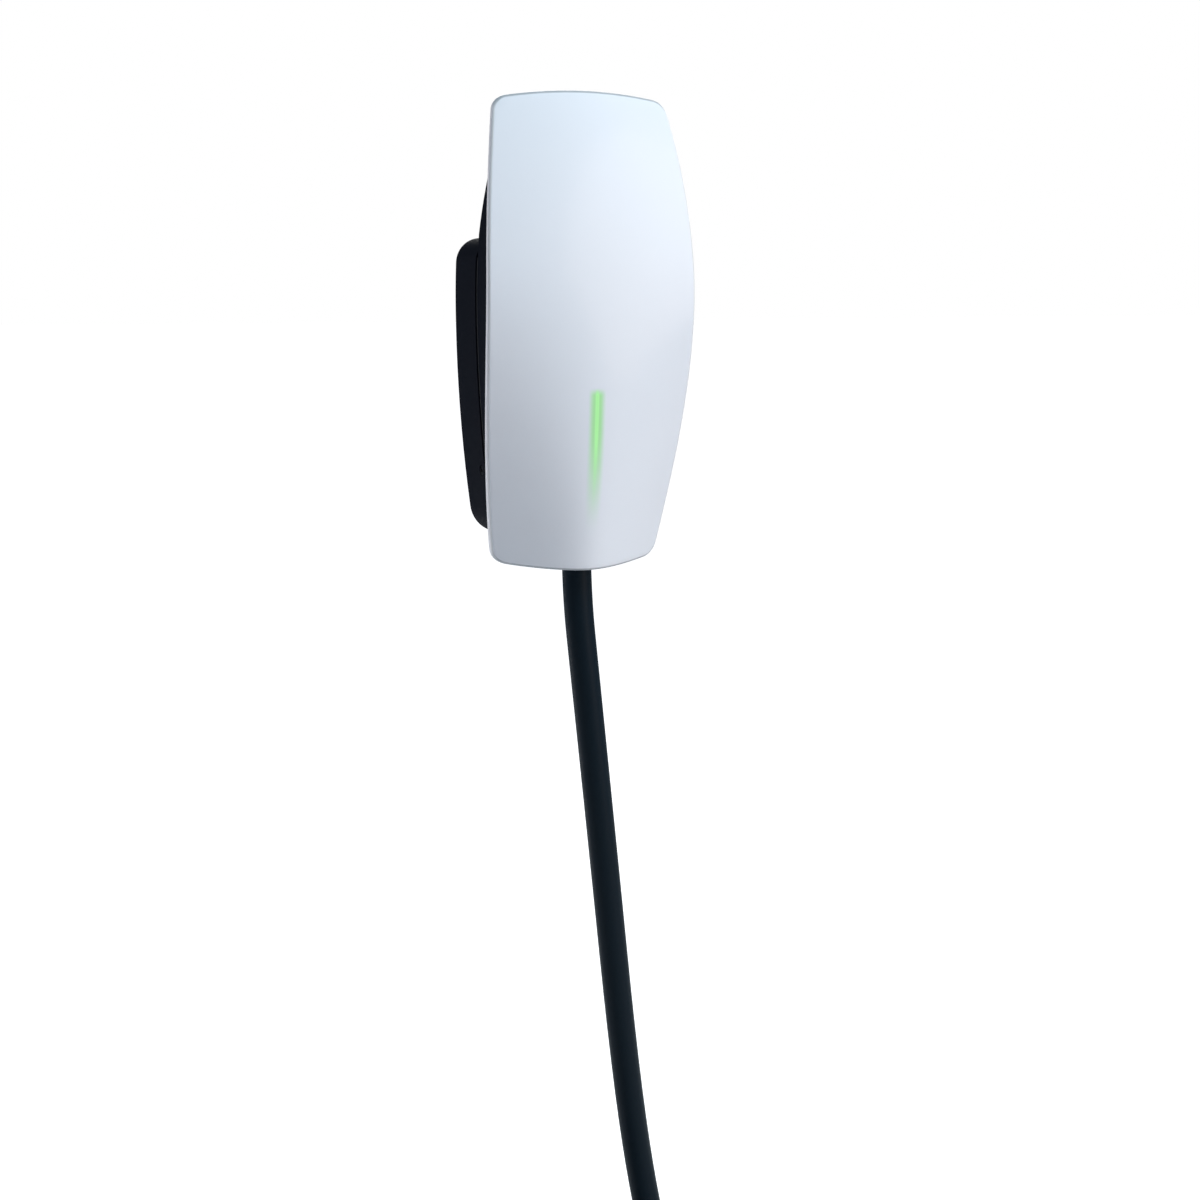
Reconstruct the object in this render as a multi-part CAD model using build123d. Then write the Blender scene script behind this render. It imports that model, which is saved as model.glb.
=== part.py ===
from build123d import *
import math
import os

os.makedirs("parts", exist_ok=True)

# A wall charger for cars, in millimetres. X is to the right as seen from the front, Y goes into the
# wall and Z is up. The origin lies on the wall, at the middle of the wiring box.
# A distance out from the wall is called reach, so reach is minus Y.

# How far a cutting solid runs past a face, and past the whole unit
past = 1.0
beyond = 20.0

# A hole that a screw bites in, and one that it passes through, are this much wider than the screw
bite_gap = 0.1
pass_gap = 0.4

# The six-point recess of a pan-head screw, as shares of the head's diameter and height
recess_width = 0.2
recess_depth = 0.6

# Faceplate and the doubly curved form of the front
plate_height = 345.0
plate_width = 160.0
unit_depth = 110.0
plate_rise = 41.0
widest_rise = 20.0
crown_rise = 5.0
side_radius_upper = 772.0
side_radius_lower = 1163.0
crown_radius_upper = 480.0
crown_radius_lower = 834.0
bulge_top = 7.0
bulge_bottom = 31.0
keel_top = 1.2
keel_bottom = 0.32
keel_start = 0.35
surface_margin = 8.0
surface_columns = 22
surface_rows = 34
plate_arch = 4.0
plate_corner = 12.0
glass_thickness = 4.0
glass_edge_radius = 1.5

# Layers behind the glass
bond_gap = 0.1
frame_thickness = 2.3
frame_inset = 4.0
cover_gap = 2.5
cover_thickness = 2.5
cover_inset = 0.5
seal_thickness = 1.0
seal_width = 2.2
lip_clearance = 0.4
lip_thickness = 1.6
lip_height = 3.0

# Light bar
light_top = -2.0
light_length = 89.0
light_width = 5.0
light_clearance = 0.3
guide_depth = 8.9
led_count = 8
led_size = 3.0
led_height = 1.0
strip_width = 12.0
strip_thickness = 1.0
strip_end = 3.0
strip_clearance = 0.2
rail_thickness = 1.8

# Wiring box on the wall
box_width = 142.0
box_height = 225.0
box_depth = 46.0
box_wall = 3.0
box_arch = 3.0
box_top_corner = 19.0
box_bottom_corner = 24.0
wall_screw_across = 84.0
wall_screw_apart = 176.0
wall_screw_hole = 5.5
wall_pad_diameter = 16.0
wall_pad_height = 4.0
entry_hole = 28.0
entry_collar = 36.0
collar_height = 5.0
rear_entry_z = -38.0
plug_clearance = 0.2
plug_flange = 31.0
plug_flange_height = 3.0
plug_setback = 0.4
plug_slot_length = 16.0
plug_slot_width = 2.2
plug_slot_depth = 2.0
box_seal_thickness = 2.0
box_seal_inset = 0.1

# Locking screws at the sides of the wiring box
lock_z = -60.0
lock_reach = 38.0
lock_screw = 4.0
lock_head = 7.0
lock_head_height = 2.6
lock_pad = 6.2
lock_lug = 8.0
lock_lug_height = 13.0
lock_gap = 0.3
lock_setback = 0.4
lock_recess = 1.6

# Terminal block and blades
poles = 3
pole_pitch = 24.0
terminal_z = 62.0
terminal_height = 44.0
terminal_width = 76.0
terminal_base = 10.0
terminal_gap = 6.0
cell_width = 17.0
cell_wall = 4.0
ear_width = 10.0
ear_height = 14.0
ear_thickness = 4.0
ear_screw = 4.0
post_diameter = 9.0
clamp_width = 15.0
wire_hole = 10.0
wire_mouth = 12.0
cage_wall = 3.0
clamp_screw = 8.0
terminal_corner = 2.0
ear_screw_head = 7.0
ear_screw_head_height = 2.4
cage_setback = 5.0
jaw_setback = 6.0
jaw_floor = 4.0
jaw_half = 5.0
cage_roof = 4.0
screw_setback = 2.0
hex_socket = 2.3
hex_socket_depth = 4.0
blade_width = 12.0
blade_thickness = 1.6
blade_rise = 11.0
blade_bite = 14.0
blade_slot_clearance = 0.1
blade_block_width = 72.0
blade_block_height = 20.0
blade_block_flange = 4.0
blade_block_flange_height = 3.0
blade_block_gap = 1.0
board_gap = 2.0
blade_gap = 0.05
blade_tip = 2.0
window_gap = 0.2

# Main housing behind the faceplate
housing_step = 1.0
housing_wall = 3.0
housing_top = 186.0
housing_arch = 3.0
housing_top_corner = 20.0
ramp_knee_reach = 52.5
ramp_knee_z = 134.0
ramp_end_reach = 59.5
ramp_end_z = 158.0
ramp_slope = 0.36
cover_posts = [(52.0, 160.0), (58.0, 60.0), (47.0, -80.0)]
post_radius = 3.6
cover_screw = 3.0
cover_screw_head = 5.8
cover_screw_head_height = 2.0
cover_screw_length = 12.0
seat_drop = 2.4
seat_thickness = 3.0
seat_diameter = 8.6
head_gap = 0.8
hooks = [(44.0, 118.0), (52.0, 4.0), (34.0, -92.0)]
hook_width = 8.0
hook_thickness = 1.8
hook_barb = 1.2
hook_clearance = 0.4
hook_root = 0.9
hook_play = 1.0

# Main board and what it carries
board_stand = 12.0
board_thickness = 1.6
board_width = 100.0
board_top = 140.0
board_bottom = -72.0
board_corner = 6.0
board_screw = 3.0
board_screw_inset = 7.0
board_screw_length = 6.5
board_screw_head = 5.4
board_screw_head_height = 1.9
relay_size = (28.0, 18.0, 34.0)
relay_x = 16.0
relay_z = 100.0
relay_corner = 1.5
relay_chamfer = 0.8
transformer_core = (24.0, 16.0, 14.3)
transformer_core_corner = 0.8
transformer_bobbin = (18.0, 20.0, 26.0)
transformer_bobbin_corner = 2.5
transformer_place = (-35.0, 36.0)
capacitor_diameter = 12.5
capacitor_height = 21.0
capacitor_edge = 1.2
capacitor_places = [(34.0, 24.0), (34.0, 40.0), (34.0, 56.0)]
radio_size = (18.0, 3.2, 26.0)
radio_place = (40.0, 100.0)
chip_size = (14.0, 1.8, 14.0)
chip_place = (0.0, 36.0)
ring_outer = 28.0
ring_inner = 16.0
ring_height = 13.0
ring_z = -22.0
ring_lift = 0.2
ring_corner = 1.5
ring_foot = (18.0, 3.2, 11.0)
power_terminal_size = (12.0, 14.0, 12.0)
power_terminal_z = 66.0
ground_terminal_place = (34.0, -36.0)
signal_terminal_place = (-34.0, -36.0)
small_terminal_size = (9.0, 10.0, 9.0)

# Charging cable, its clamp and its gland
cable_diameter = 22.0
cable_clearance = 0.25
cable_inner_end = -80.0
power_core = 6.5
ground_core = 3.0
signal_core = 2.4
core_x = 3.6
small_core_x = 8.0
core_bend = 12.0
small_core_bend = 8.0
clamp_top = -84.0
clamp_height = 13.0
clamp_wall = 3.0
clamp_width_across = 41.0
clamp_screw_diameter = 3.0
clamp_screw_x = 17.0
clamp_gap = 1.0
clamp_bore = 22.2
clamp_screw_length = 14.0
clamp_screw_head = 5.2
clamp_screw_head_height = 1.8
gland_hole = 27.4
gland_flange = 30.0
gland_flange_height = 3.5
gland_thread = 27.0
gland_nut_size = 31.0
gland_nut_height = 8.0
gland_nut_sides = 8
gland_nut_chamfer = 0.8
boot_end = -131.0
boot_mouth = 25.0
boot_step = 1.5
boot_lip = 2.0
ring_seal_diameter = 28.0
ring_seal_height = 3.0

# Coil of the length that isn't hanging
floor_z = -815.0
coil_centre = (-60.0, 203.5)
coil_mean_radius = 131.0
coil_columns = 2
coil_layers = 3

# Handle of the cable
handle_x = -232.0
handle_reach = 345.5
handle_lift = 21.5
handle_stations = [(0.0, 16.8, 16.8, 0.0), (40.0, 16.8, 17.5, 1.5), (85.0, 17.5, 18.5, 2.0),
                   (125.0, 19.5, 20.5, 0.8), (150.0, 21.0, 21.0, 0.0)]
handle_wall = 2.4
handle_screws = [34.0, 126.0]
handle_screw = 3.0
handle_screw_head = 5.5
handle_screw_head_height = 2.0
handle_screw_seat = -11.0
handle_screw_tip = 8.0
handle_screw_recess = 1.2
ledge_thickness = 4.0
ledge_window = 23.2
handle_post = 3.6
button_s = 92.0
button_length = 18.0
button_width = 10.0
button_gap = 0.4
button_stand = 2.2
button_travel = 1.5
button_flange = 1.5
button_flange_edge = 2.0
button_rest_gap = 0.4
button_edge = 1.0
switch_board_length = 26.0
switch_board_thickness = 1.2
switch_size = 11.0
switch_height = 4.3
switch_corner = 0.8
switch_board_gap = 0.5
plunger_diameter = 6.6
plunger_height = 2.4
spring_diameter = 8.6
spring_wire = 0.9
spring_turns = 3
stem_diameter = 5.0
stem_gap = 0.3
nose_width = 33.0
nose_height = 27.0
nose_narrow = 19.0
nose_corner = 6.5
nose_chamfer = 0.8
nose_length = 32.0
nose_flange = 2.0
nose_flange_height = 4.0
nose_clearance = 0.2
collar_plate = 3.0
power_bore = 9.6
power_bore_place = (7.8, 3.4)
ground_bore = 6.6
ground_bore_z = -7.4
signal_bore = 3.6
signal_bore_place = (8.7, -6.2)
sleeve_recess = 6.0
sleeve_length = 24.0
sleeve_wall = 0.25
sleeve_gap = 0.1
sleeve_crimp = 14.0
handle_core = 5.0
handle_core_start = 10.0
handle_core_side = 8.0
handle_core_low = -5.0
handle_core_runs = (45.0, 26.0, 12.0)
handle_core_bends = [12.0, 12.0, 4.0]
handle_boot_length = 46.0
handle_boot_mouth = 25.0
handle_boot_wall = 1.6
handle_boot_flange = 1.0
handle_boot_straight = 8.0
handle_boot_step = 0.8

# Worked out from the sizes above
plate_half = plate_width / 2
plate_top = plate_rise + plate_height / 2
plate_bottom = plate_rise - plate_height / 2
widest_z = plate_rise + widest_rise
crown_z = plate_rise + crown_rise
box_top = box_height / 2
box_bottom = -box_height / 2
frame_front = glass_thickness + bond_gap
frame_back = frame_front + frame_thickness
cover_front = frame_back + cover_gap
cover_back = cover_front + cover_thickness
rim = cover_back + seal_thickness
housing_back = box_depth + box_seal_thickness
housing_width = box_width - 2 * housing_step
terminal_depth = box_depth - terminal_base - terminal_gap
board_reach = housing_back + board_stand
cable_reach = housing_back + housing_wall + gland_flange / 2
board_front = board_reach + board_thickness
light_bottom = light_top - light_length
guide_back = frame_front + guide_depth
strip_front = guide_back + bond_gap + led_height
strip_back = strip_front + strip_thickness
cable_radius = cable_diameter / 2
entry_reach = (box_depth + box_wall) / 2
blade_z = terminal_z + blade_rise
pole_xs = [pole_pitch * (i - (poles - 1) / 2) for i in range(poles)]


def smooth_step(t):
    t = min(max(t, 0.0), 1.0)
    return t * t * (3 - 2 * t)


def side_half(half_width, z):
    """Half-width at a height: two arcs that meet upright at the widest level."""
    radius = side_radius_upper if z > widest_z else side_radius_lower
    radius -= plate_half - half_width
    return half_width - radius + math.sqrt(radius ** 2 - (z - widest_z) ** 2)


def glass_reach(x, z):
    """Reach of the outer face of the glass: a crowned middle that turns into a keel low down."""
    radius = crown_radius_upper if z > crown_z else crown_radius_lower
    middle = unit_depth - radius + math.sqrt(radius ** 2 - (z - crown_z) ** 2)
    fall = smooth_step(((plate_top - z) / plate_height - keel_start) / (1 - keel_start))
    bulge = bulge_top + (bulge_bottom - bulge_top) * fall
    keel = keel_top + (keel_bottom - keel_top) * fall
    across = x / side_half(plate_half, z)
    return middle - bulge * (math.hypot(across, keel) - keel) / (math.hypot(1, keel) - keel)


def barrel_outline(width, top, bottom, arch, top_corner, bottom_corner):
    """Front outline with arched ends and barrel sides, drawn in X and Z."""
    half = width / 2
    high = top - arch
    low = bottom + arch
    corners = [(side_half(half, high), high), (half, widest_z), (side_half(half, low), low)]
    upper = (high + widest_z) / 2
    lower = (low + widest_z) / 2
    middles = [(side_half(half, upper), upper), (side_half(half, lower), lower)]
    with BuildSketch() as sketch:
        with BuildLine():
            ThreePointArc((-corners[0][0], high), (0, top), corners[0])
            for side in (1, -1):
                for i in (0, 1):
                    ends = [corners[i], middles[i], corners[i + 1]]
                    ThreePointArc(*[(side * x, z) for x, z in ends])
            ThreePointArc(corners[2], (0, bottom), (-corners[2][0], low))
        make_face()
        fillet([v for v in sketch.vertices() if abs(v.Y - high) < 0.01], top_corner)
        fillet([v for v in sketch.vertices() if abs(v.Y - low) < 0.01], bottom_corner)
    return sketch.sketch


def prism(outline, reach_from, reach_to):
    return extrude(Plane.XZ.offset(reach_from) * outline, amount=reach_to - reach_from)


def plate_outline(inset=0.0):
    return barrel_outline(plate_width - 2 * inset, plate_top - inset, plate_bottom + inset, plate_arch,
                          plate_corner - inset, plate_corner - inset)


def box_outline(inset=0.0):
    return barrel_outline(box_width - 2 * inset, box_top - inset, box_bottom + inset, box_arch,
                          box_top_corner - inset, box_bottom_corner - inset)


def housing_outline(inset=0.0):
    return barrel_outline(housing_width - 2 * inset, housing_top - inset, box_bottom + housing_step + inset,
                          housing_arch, housing_top_corner - inset, box_bottom_corner - inset)


def block(x, reach, z):
    """A box between two values of X, of reach and of Z."""
    size = Box(x[1] - x[0], reach[1] - reach[0], z[1] - z[0])
    return Pos((x[0] + x[1]) / 2, -(reach[0] + reach[1]) / 2, (z[0] + z[1]) / 2) * size


def rod_out(x, z, diameter, reach_from, reach_to):
    rod = Rot(90, 0, 0) * Cylinder(diameter / 2, reach_to - reach_from)
    return Pos(x, -(reach_from + reach_to) / 2, z) * rod


def rod_up(x, reach, diameter, z_from, z_to):
    return Pos(x, -reach, (z_from + z_to) / 2) * Cylinder(diameter / 2, z_to - z_from)


def rod_side(reach, z, diameter, x_from, x_to):
    rod = Rot(0, 90, 0) * Cylinder(diameter / 2, x_to - x_from)
    return Pos((x_from + x_to) / 2, -reach, z) * rod


def both_sides(places):
    return [(side * x, z) for x, z in places for side in (-1, 1)]


def pill(length, width):
    """A slot outline with round ends, its length along the second axis."""
    return Rot(0, 0, 90) * SlotOverall(length, width)


def curved_face():
    """The outer face of the glass, a little larger than the plate."""
    half = plate_half + surface_margin
    low = plate_bottom - surface_margin
    height = plate_height + 2 * surface_margin
    xs = [half * (2 * i / surface_columns - 1) for i in range(surface_columns + 1)]
    zs = [low + height * j / surface_rows for j in range(surface_rows + 1)]
    points = [[Vector(x, -glass_reach(x, z), z) for z in zs] for x in xs]
    return Face.make_surface_from_array_of_points(points, tol=0.01, min_deg=3, max_deg=5)


front_face = curved_face()


def sheet(front, back):
    """The slab between two depths behind the outer face of the glass."""
    return Solid.extrude(front_face.moved(Pos(0, front, 0)), Vector(0, back - front, 0))


def behind(depth):
    return sheet(depth, depth + unit_depth + 2 * beyond)


light_middle = Pos(0, (light_top + light_bottom) / 2)


# The faceplate

def faceplate_glass():
    glass = (sheet(0, glass_thickness) & prism(plate_outline(), 0, unit_depth + beyond)).solids()[0]
    edges = [e for e in glass.edges() if on_face(e, 0) or on_face(e, glass_thickness)]
    return glass.fillet(glass_edge_radius, edges)


def on_face(edge, depth):
    middle = edge @ 0.5
    return abs(glass_reach(middle.X, middle.Z) - depth + middle.Y) < glass_thickness / 10


def hook(x, z):
    """A snap hook of the frame: a leg through the cover with a barb behind it."""
    root = glass_reach(x, z) - frame_back + hook_root
    catch = glass_reach(x, z) - cover_back - hook_play
    tip = catch - 2 * hook_barb
    outward = math.copysign(1, x)
    side = x + outward * hook_thickness / 2
    leg = block((x - hook_thickness / 2, x + hook_thickness / 2), (tip, root),
                (z - hook_width / 2, z + hook_width / 2))
    wedge = Polygon((side, -tip), (side, -catch), (side + outward * hook_barb, -catch), align=None)
    barb = extrude(Pos(0, 0, z) * wedge, amount=hook_width / 2, both=True)
    return leg + barb


def faceplate_frame():
    frame = sheet(frame_front, frame_back) & prism(plate_outline(frame_inset), 0, unit_depth)
    slot = light_middle * pill(light_length + 2 * light_clearance, light_width + 2 * light_clearance)
    frame -= prism(slot, 0, unit_depth)
    for x, z in both_sides(hooks):
        frame += hook(x, z)
    return frame


def light_guide():
    bar = light_middle * pill(light_length, light_width)
    return sheet(frame_front, guide_back) & prism(bar, 0, unit_depth)


def leds():
    group = []
    for i in range(led_count):
        z = light_top - light_length * (i + 0.5) / led_count
        reach = min(glass_reach(0, z + d) for d in (-led_size / 2, led_size / 2)) - guide_back - bond_gap
        group.append(block((-led_size / 2, led_size / 2), (reach - led_height, reach),
                           (z - led_size / 2, z + led_size / 2)))
    return Compound(group)


def led_strip():
    strip = light_middle * Rectangle(strip_width, light_length + 2 * strip_end)
    return (sheet(strip_front, strip_back) & prism(strip, 0, unit_depth)) - leds()


def cover_seat(x, z):
    """Reach of the flat seat under a cover screw's head."""
    return glass_reach(x, z) - cover_front - seat_drop


def front_cover():
    cover = sheet(cover_front, cover_back) & prism(housing_outline(cover_inset), 0, unit_depth)
    lip_inset = housing_wall + lip_clearance
    lip = housing_outline(lip_inset) - housing_outline(lip_inset + lip_thickness)
    cover += sheet(cover_back, cover_back + lip_height) & prism(lip, 0, unit_depth)
    inner_width = strip_width + 2 * strip_clearance
    inner_length = light_length + 2 * strip_end + 2 * strip_clearance
    trough = Rectangle(inner_width + 2 * rail_thickness, inner_length + 2 * rail_thickness)
    trough -= Rectangle(inner_width, inner_length)
    cover += sheet(cover_back, strip_back) & prism(light_middle * trough, 0, unit_depth)
    slot = light_middle * pill(light_length + 2 * light_clearance, light_width + 2 * light_clearance)
    cover -= prism(slot, 0, unit_depth)
    for x, z in both_sides(cover_posts):
        seat = cover_seat(x, z)
        cover += rod_out(x, z, seat_diameter, seat - seat_thickness, seat)
        cover -= rod_out(x, z, cover_screw_head + head_gap, seat, unit_depth)
        cover -= rod_out(x, z, cover_screw + pass_gap, seat - seat_thickness - past, unit_depth)
    for x, z in both_sides(hooks):
        outward = math.copysign(1, x)
        near = x - outward * (hook_thickness / 2 + hook_clearance)
        far = x + outward * (hook_thickness / 2 + hook_barb + hook_clearance)
        reach = glass_reach(x, z)
        cover -= block(sorted((near, far)), (reach - cover_back - hook_width, reach),
                       (z - hook_width / 2 - hook_clearance, z + hook_width / 2 + hook_clearance))
    return cover


def housing_seal():
    edge = (housing_wall - seal_width) / 2
    ring = housing_outline(edge) - housing_outline(edge + seal_width)
    return sheet(cover_back, rim) & prism(ring, 0, unit_depth)


def screw(x, z, reach_seat, diameter, length, head, head_height):
    """A pan-head screw that points at the wall, with a six-point recess."""
    shank = rod_out(x, z, diameter, reach_seat - length, reach_seat)
    top = rod_out(x, z, head, reach_seat, reach_seat + head_height)
    recess = Plane.XZ.offset(reach_seat + head_height) * Pos(x, z) * RegularPolygon(recess_width * head, 6)
    return shank + top - extrude(recess, amount=-recess_depth * head_height)


def cover_screws():
    return Compound([screw(x, z, cover_seat(x, z), cover_screw, cover_screw_length,
                           cover_screw_head, cover_screw_head_height)
                     for x, z in both_sides(cover_posts)])


# The main housing

def ramp_cut(shift):
    """What lies behind the ramp above the wiring box, moved forward and down by a shift."""
    end_z = plate_top + beyond
    end_reach = ramp_end_reach + (end_z - ramp_end_z) * ramp_slope
    with BuildSketch() as profile:
        with BuildLine():
            ThreePointArc((-housing_back, box_top), (-ramp_knee_reach, ramp_knee_z),
                          (-ramp_end_reach, ramp_end_z))
            Polyline((-ramp_end_reach, ramp_end_z), (-end_reach, end_z), (beyond, end_z),
                     (beyond, box_top), (-housing_back, box_top))
        make_face()
    wedge = extrude(Plane.YZ * profile.sketch, amount=plate_width, both=True)
    return Pos(0, -shift, -shift / 2) * wedge


def board_posts():
    x = board_width / 2 - board_screw_inset
    return both_sides([(x, board_top - board_screw_inset), (x, board_bottom + board_screw_inset)])


def lock_faces():
    """X of the wiring box's outer side, of its pad's inner face and of the lug behind it."""
    outer = side_half(box_width / 2, lock_z)
    return outer, outer - lock_pad, outer - lock_pad - lock_gap


def main_housing():
    front = behind(rim)
    outer = prism(housing_outline(), housing_back, unit_depth) & front
    outer -= ramp_cut(0)
    hollow = prism(housing_outline(housing_wall), housing_back + housing_wall, unit_depth + beyond)
    hollow -= ramp_cut(housing_wall)
    housing = outer - hollow
    for x, z in board_posts():
        housing += rod_out(x, z, post_diameter, housing_back, board_reach) & outer
        housing -= rod_out(x, z, board_screw + bite_gap, board_front - board_screw_length - past, board_reach)
    for x, z in both_sides(cover_posts):
        top = cover_seat(x, z) - seat_thickness
        housing += rod_out(x, z, 2 * post_radius, housing_back, top) & outer
        housing -= rod_out(x, z, cover_screw + bite_gap, top - cover_screw_length, top)
    # Cradle of the cable clamp
    across = clamp_width_across / 2
    cradle = block((-across, across), (housing_back, cable_reach - clamp_gap),
                   (clamp_top - clamp_height, clamp_top))
    housing += cradle
    housing -= rod_up(0, cable_reach, clamp_bore, clamp_top - clamp_height - past, clamp_top + past)
    for x in (-clamp_screw_x, clamp_screw_x):
        housing -= rod_out(x, clamp_top - clamp_height / 2, clamp_screw_diameter + bite_gap,
                           cable_reach - clamp_screw_length + past, cable_reach)
    # Gland hole, with a flat spot inside for its flange
    flat = box_bottom + housing_step + housing_wall
    housing -= rod_up(0, cable_reach, gland_hole, flat - housing_wall - past, flat + past)
    housing -= rod_up(0, cable_reach, gland_flange + 2 * window_gap, flat, flat + gland_flange_height)
    # Window of the blades
    half = blade_block_width / 2 + window_gap
    up = blade_block_height / 2 + window_gap
    housing -= block((-half, half), (housing_back - past, housing_back + housing_wall + past),
                     (blade_z - up, blade_z + up))
    # Lugs for the locking screws
    lug_face = lock_faces()[2]
    for side in (-1, 1):
        xs = sorted((side * lug_face, side * (lug_face - lock_lug)))
        lug = block(xs, (lock_reach - lock_lug_height / 2, housing_back + housing_wall),
                    (lock_z - lock_lug_height / 2, lock_z + lock_lug_height / 2))
        housing += lug
        hole = sorted((side * (lug_face - lock_lug - past), side * (lug_face + past)))
        housing -= rod_side(lock_reach, lock_z, lock_screw + bite_gap, *hole)
    return housing


def cable_clamp():
    low = clamp_top - clamp_height
    back = cable_reach + clamp_gap
    across = clamp_width_across / 2
    saddle = rod_up(0, cable_reach, cable_diameter + 2 * clamp_wall, low, clamp_top)
    saddle += block((-across, across), (back, back + clamp_wall), (low, clamp_top))
    saddle -= rod_up(0, cable_reach, clamp_bore, low - past, clamp_top + past)
    saddle &= block((-across, across), (back, unit_depth), (low, clamp_top))
    for x in (-clamp_screw_x, clamp_screw_x):
        saddle -= rod_out(x, low + clamp_height / 2, clamp_screw_diameter + pass_gap, cable_reach, unit_depth)
    return saddle


def clamp_screws():
    seat = cable_reach + clamp_gap + clamp_wall
    return Compound([screw(x, clamp_top - clamp_height / 2, seat, clamp_screw_diameter, clamp_screw_length,
                           clamp_screw_head, clamp_screw_head_height)
                     for x in (-clamp_screw_x, clamp_screw_x)])


def gland_body():
    outer_face = box_bottom + housing_step
    inner_face = outer_face + housing_wall
    body = rod_up(0, cable_reach, gland_flange, inner_face, inner_face + gland_flange_height)
    body += rod_up(0, cable_reach, gland_thread, outer_face - gland_nut_height + past, inner_face)
    return body - rod_up(0, cable_reach, cable_diameter + 2 * cable_clearance,
                         outer_face - beyond, inner_face + beyond)


def gland_nut():
    top = box_bottom + housing_step
    outline = RegularPolygon(gland_nut_size / 2, gland_nut_sides, major_radius=False)
    nut = extrude(Pos(0, -cable_reach, top - gland_nut_height) * outline, amount=gland_nut_height)
    nut = chamfer(nut.faces().sort_by(Axis.Z)[0].edges(), gland_nut_chamfer)
    nut -= rod_up(0, cable_reach, gland_thread + 2 * bite_gap, top - gland_nut_height + past, top + past)
    return nut - rod_up(0, cable_reach, cable_diameter + 2 * cable_clearance,
                        top - gland_nut_height - past, top + past)


def gland_boot():
    top = box_bottom + housing_step - gland_nut_height
    bore = cable_radius + cable_clearance
    widest = gland_nut_size / 2 - boot_step
    profile = Polygon((bore, boot_end), (boot_mouth / 2, boot_end), (widest, top - boot_lip), (widest, top),
                      (bore, top), align=None)
    return Pos(0, -cable_reach, 0) * revolve(Plane.XZ * profile, axis=Axis.Z)


def cable_seal():
    top = box_bottom + housing_step + housing_wall + gland_flange_height
    ring = rod_up(0, cable_reach, ring_seal_diameter, top, top + ring_seal_height)
    return ring - rod_up(0, cable_reach, cable_diameter + bite_gap, top - past, top + ring_seal_height + past)


def cable_entry():
    return rod_up(0, cable_reach, cable_diameter, box_bottom, cable_inner_end)


# The wiring box

def wirebox():
    outer = prism(box_outline(), 0, box_depth)
    box = outer - prism(box_outline(box_wall), box_wall, box_depth + past)
    for x in (-wall_screw_across / 2, wall_screw_across / 2):
        for z in (-wall_screw_apart / 2, wall_screw_apart / 2):
            box += rod_out(x, z, wall_pad_diameter, 0, box_wall + wall_pad_height)
            box -= rod_out(x, z, wall_screw_hole, -past, box_wall + wall_pad_height + past)
    box += rod_out(0, rear_entry_z, entry_collar, 0, box_wall + collar_height)
    box -= rod_out(0, rear_entry_z, entry_hole, -past, box_wall + collar_height + past)
    for end in (box_top, box_bottom):
        into = -1 if end > 0 else 1
        ends = sorted((end, end + into * (box_wall + collar_height)))
        box += rod_up(0, entry_reach, entry_collar, *ends) & outer
        box -= rod_up(0, entry_reach, entry_hole, ends[0] - past, ends[1] + past)
    outer_x, pad_x, _ = lock_faces()
    for side in (-1, 1):
        pad = block(sorted((side * pad_x, side * (outer_x + past))),
                    (lock_reach - lock_lug_height / 2, box_depth),
                    (lock_z - lock_lug_height / 2, lock_z + lock_lug_height / 2))
        box += pad & outer
        seat = outer_x - lock_head_height - lock_setback
        box -= rod_side(lock_reach, lock_z, lock_screw + pass_gap,
                        *sorted((side * (pad_x - past), side * plate_width)))
        box -= rod_side(lock_reach, lock_z, lock_head + head_gap, *sorted((side * seat, side * plate_width)))
    for x in terminal_ears():
        box += rod_out(x, terminal_z, post_diameter, 0, terminal_base)
        box -= rod_out(x, terminal_z, ear_screw + bite_gap, box_wall, terminal_base)
    return box


def wirebox_seal():
    """It lies inside the housing's edge, which is stepped in from the box."""
    ring = box_outline(housing_step + box_seal_inset) - box_outline(box_wall - box_seal_inset)
    return prism(ring, box_depth, housing_back)


def entry_plugs():
    group = []
    for end in (box_top, box_bottom):
        into = -1 if end > 0 else 1
        face = end + into * plug_setback
        seat = end + into * (box_wall + collar_height)
        body = rod_up(0, entry_reach, entry_hole - 2 * plug_clearance, *sorted((face, seat)))
        body += rod_up(0, entry_reach, plug_flange, *sorted((seat, seat + into * plug_flange_height)))
        slot = Pos(0, -entry_reach, face + into * plug_slot_depth / 2)
        group.append(body - slot * Box(plug_slot_length, plug_slot_width, plug_slot_depth))
    return Compound(group)


def locking_screws():
    group = []
    outer_x, _, lug_x = lock_faces()
    seat = outer_x - lock_head_height - lock_setback
    for side in (-1, 1):
        top = side * (seat + lock_head_height)
        shank = sorted((side * seat, side * (lug_x - lock_lug + past)))
        body = rod_side(lock_reach, lock_z, lock_screw, *shank)
        body += rod_side(lock_reach, lock_z, lock_head, *sorted((side * seat, top)))
        recess = Plane.YZ.offset(top) * Pos(-lock_reach, lock_z) * RegularPolygon(lock_recess, 6)
        group.append(body - extrude(recess, amount=-side * lock_recess))
    return Compound(group)


# The supply terminals

def terminal_ears():
    x = (terminal_width + ear_width) / 2
    return (-x, x)


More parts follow.
